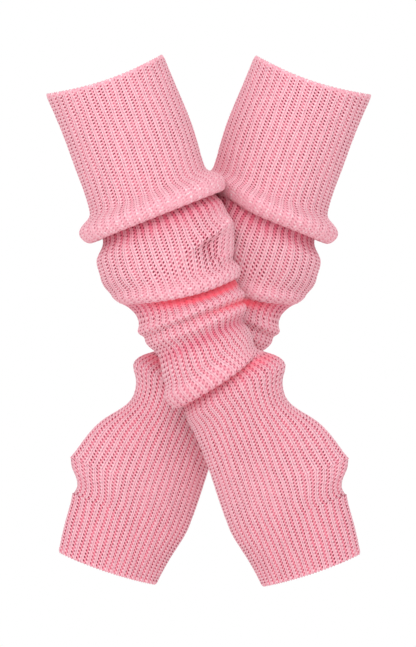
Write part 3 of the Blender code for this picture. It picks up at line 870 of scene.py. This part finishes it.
def gapPattern(tree, at):
    # painted shade in the gaps between the two legs of each stitch: an oval, (wide / gapWide)^2 + (tall /
    # gapTall)^2
    wide = addNode(tree, "Math", [at["fromMiddle"], yarn["gapWide"]], operation="DIVIDE")
    wide = addNode(tree, "Math", [wide, 2.0], operation="POWER")
    tall = addNode(tree, "Math", [at["down"]], operation="FRACT")
    tall = addNode(tree, "Math", [tall, 0.5], operation="SUBTRACT")
    tall = addNode(tree, "Math", [tall, yarn["gapTall"]], operation="DIVIDE")
    tall = addNode(tree, "Math", [tall, 2.0], operation="POWER")
    gapShade = addNode(tree, "Math", [wide, tall], operation="ADD")
    gapShade = addNode(tree, "MapRange", [gapShade, *yarn["gapRim"]], **smooth)
    rib = addNode(tree, "Math", [at["across"]], operation="FLOOR")
    number = addNode(tree, "Math", [at["down"]], operation="FLOOR")
    place = addNode(tree, "CombineXYZ", [rib, number, 0.5])
    chance = addNode(tree, "TexWhiteNoise", [place], noise_dimensions="3D")
    chance = addNode(tree, "MapRange", [chance, *yarn["gapByChance"]])
    for share in (chance, at["plain"]):
        gapShade = addNode(tree, "Math", [gapShade, share], operation="MULTIPLY")
    return gapShade


def fleckPattern(tree, at):
    # over the outside of a fold the stitches press together, and only flecks are left
    scale = (yarn["flecksPerRib"], yarn["flecksPerCourse"], 1.0)
    fleck = addNode(tree, "VectorMath", [at["uv"], scale], operation="MULTIPLY")
    fleck = addNode(tree, "TexNoise", {"Vector": fleck, "Scale": 1.0, "Detail": 2.0}, noise_dimensions="2D")
    rosy = addNode(tree, "MapRange", [fleck, *yarn["rosyRange"]], **smooth)
    rosy = addNode(tree, "Math", [rosy, at["calm"]], operation="MULTIPLY")
    pale = addNode(tree, "MapRange", [fleck, *yarn["paleRange"]], **smooth)
    pale = addNode(tree, "Math", [pale, at["calm"]], operation="MULTIPLY")
    return rosy, pale


def knitMaterial():
    material = bpy.data.materials.new("ribbed acrylic knit")
    material.use_nodes = True
    tree = material.node_tree
    tree.nodes.clear()
    at = stitchPlaces(tree)
    tuckedShade, lit = legPattern(tree, at)
    gapShade = gapPattern(tree, at)
    rosy, pale = fleckPattern(tree, at)
    holeShade, holeRimShade, barHighlight = holePattern(tree, at)

    # painted shade in the furrow under the legs, deeper pink where the ribs close up over it
    furrow = addNode(tree, "MapRange", [at["aside"], *yarn["furrowEdge"]], **smooth)
    furrow = addNode(tree, "Math", [furrow, at["plain"]], operation="MULTIPLY")
    deep = {0: at["apart"], 6: linear(yarn["furrowShadeClosed"]), 7: linear(yarn["furrowShadeApart"])}
    deep = addNode(tree, "Mix", deep, **blend)

    # painted shade on cloth that other cloth stands over, first in the furrows, and on the bottom of a
    # groove
    shaded = addNode(tree, "MapRange", [at["aside"], *yarn["shadeRange"]], **smooth)
    shaded = addNode(tree, "Math", [shaded, at["shelterShade"]], operation="MULTIPLY")
    sunkShade = addNode(tree, "MapRange", [at["aside"], *yarn["grooveRange"]], **smooth)
    sunkShade = addNode(tree, "Math", [sunkShade, at["grooveShade"]], operation="MULTIPLY")

    # the legs' colour, and over it one colour after another, each with its strength
    colour = linear(yarn["leg"])
    for strength, over in (
        (tuckedShade, linear(yarn["tuckedIn"])),
        (lit, linear(yarn["fleck"])),
        (gapShade, linear(yarn["gapShade"])),
        (rosy, linear(yarn["tuckedIn"])),
        (pale, linear(yarn["fleck"])),
        (furrow, deep),
        (barHighlight, linear(yarn["barHighlight"])),
        (holeRimShade, linear(yarn["holeRimShade"])),
        (shaded, linear(yarn["shade"])),
        (sunkShade, linear(yarn["grooveShade"])),
        (holeShade, linear(yarn["hole"])),
    ):
        colour = addNode(tree, "Mix", {0: strength, 6: colour, 7: over}, **blend)

    # brushed fibres
    scale = (yarn["fibresPerRib"], yarn["fibresPerCourse"], 1.0)
    fibre = addNode(tree, "VectorMath", [at["uv"], scale], operation="MULTIPLY")
    fibre = addNode(tree, "TexNoise", {"Vector": fibre, "Scale": 1.0, "Detail": 3.0}, noise_dimensions="2D")
    relief = {"Height": fibre, "Strength": 0.6, "Distance": yarn["fibreDepth"]}
    relief = addNode(tree, "Bump", relief)

    finish = {"Normal": relief, "Roughness": 0.9, "IOR": 1.49, "Specular IOR Level": 0.2}
    sheen = {"Sheen Weight": 0.20, "Sheen Roughness": 0.5, "Sheen Tint": linear(yarn["sheen"])}
    surface = addNode(tree, "BsdfPrincipled", {"Base Color": colour, **finish, **sheen})
    addNode(tree, "OutputMaterial", {"Surface": surface})
    print("material", material.name, len(tree.nodes), "nodes")
    return material


def buildPair():
    knit = knitMaterial()
    for node, mirror in (("warmer_front", 1.0), ("warmer_back", -1.0)):
        for part, (firstRow, lastRow) in stretches.items():
            piece = warmerStretch(node + "." + part, mirror, firstRow, lastRow)
            piece.data.materials.append(knit)
            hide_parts(node)
            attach(piece, "root")


# The picture: a plain white room, and a long lens that looks along +Y.
studio = {
    "paper": "#F2F1EF",
    "floorRadius": 1.6,
    "floorSides": 96,
    "floorBelow": 0.35,  # under the origin
    "lampSize": 1.2,
    "lamps": {
        "key light": ((-0.3, -2.2, 1.2), 25.0),
        "fill light": ((-0.6, -2.1, -1.1), 35.0),
        "back light": ((0.4, 2.3, 0.9), 24.0),
    },
    "frameTall": 0.48525,  # metres that the picture's height covers at the pair
    "distance": 7.0,
    "middle": (-0.00075, 0.0266),  # X and Z of the picture's middle
}


def buildStage():
    sheet = bpy.data.meshes.new("pale floor")
    turn = np.linspace(0, 2 * math.pi, studio["floorSides"], endpoint=False)
    radius, height = studio["floorRadius"], np.full(len(turn), -studio["floorBelow"])
    rim = np.stack([radius * np.cos(turn), radius * np.sin(turn), height], axis=-1)
    sheet.from_pydata(rim.tolist(), [], [list(range(len(turn)))])
    paper = bpy.data.materials.new("matt white paper")
    paper.use_nodes = True
    paper.node_tree.nodes["Principled BSDF"].inputs["Base Color"].default_value = linear(studio["paper"])
    paper.node_tree.nodes["Principled BSDF"].inputs["Roughness"].default_value = 0.9
    sheet.materials.append(paper)
    floor = bpy.data.objects.new("floor", sheet)
    bpy.context.scene.collection.objects.link(floor)

    world = bpy.data.worlds.new("white room")
    world.use_nodes = True
    world.node_tree.nodes["Background"].inputs["Color"].default_value = (1.0, 1.0, 1.0, 1.0)
    world.node_tree.nodes["Background"].inputs["Strength"].default_value = 1.0
    bpy.context.scene.world = world

    for name, (place, power) in studio["lamps"].items():
        light = bpy.data.lights.new(name, "AREA")
        light.size = studio["lampSize"]
        light.energy = power
        lamp = bpy.data.objects.new(name, light)
        lamp.location = place
        x, y, z = place  # each lamp is turned to face the origin
        lamp.rotation_euler = (math.acos(z / math.hypot(x, y, z)), 0.0, math.atan2(x, -y))
        bpy.context.scene.collection.objects.link(lamp)

    camera = bpy.data.cameras.new("camera")
    camera.sensor_fit = "VERTICAL"
    camera.lens = camera.sensor_height * studio["distance"] / studio["frameTall"]
    camera.clip_end = 50.0
    eye = bpy.data.objects.new("camera", camera)
    eye.location = (studio["middle"][0], -studio["distance"], studio["middle"][1])
    eye.rotation_euler = (math.pi / 2, 0.0, 0.0)
    bpy.context.scene.collection.objects.link(eye)
    bpy.context.scene.camera = eye
    bpy.context.scene.view_settings.view_transform = "Standard"
    print("room, lamps and camera")


buildPair()
buildStage()
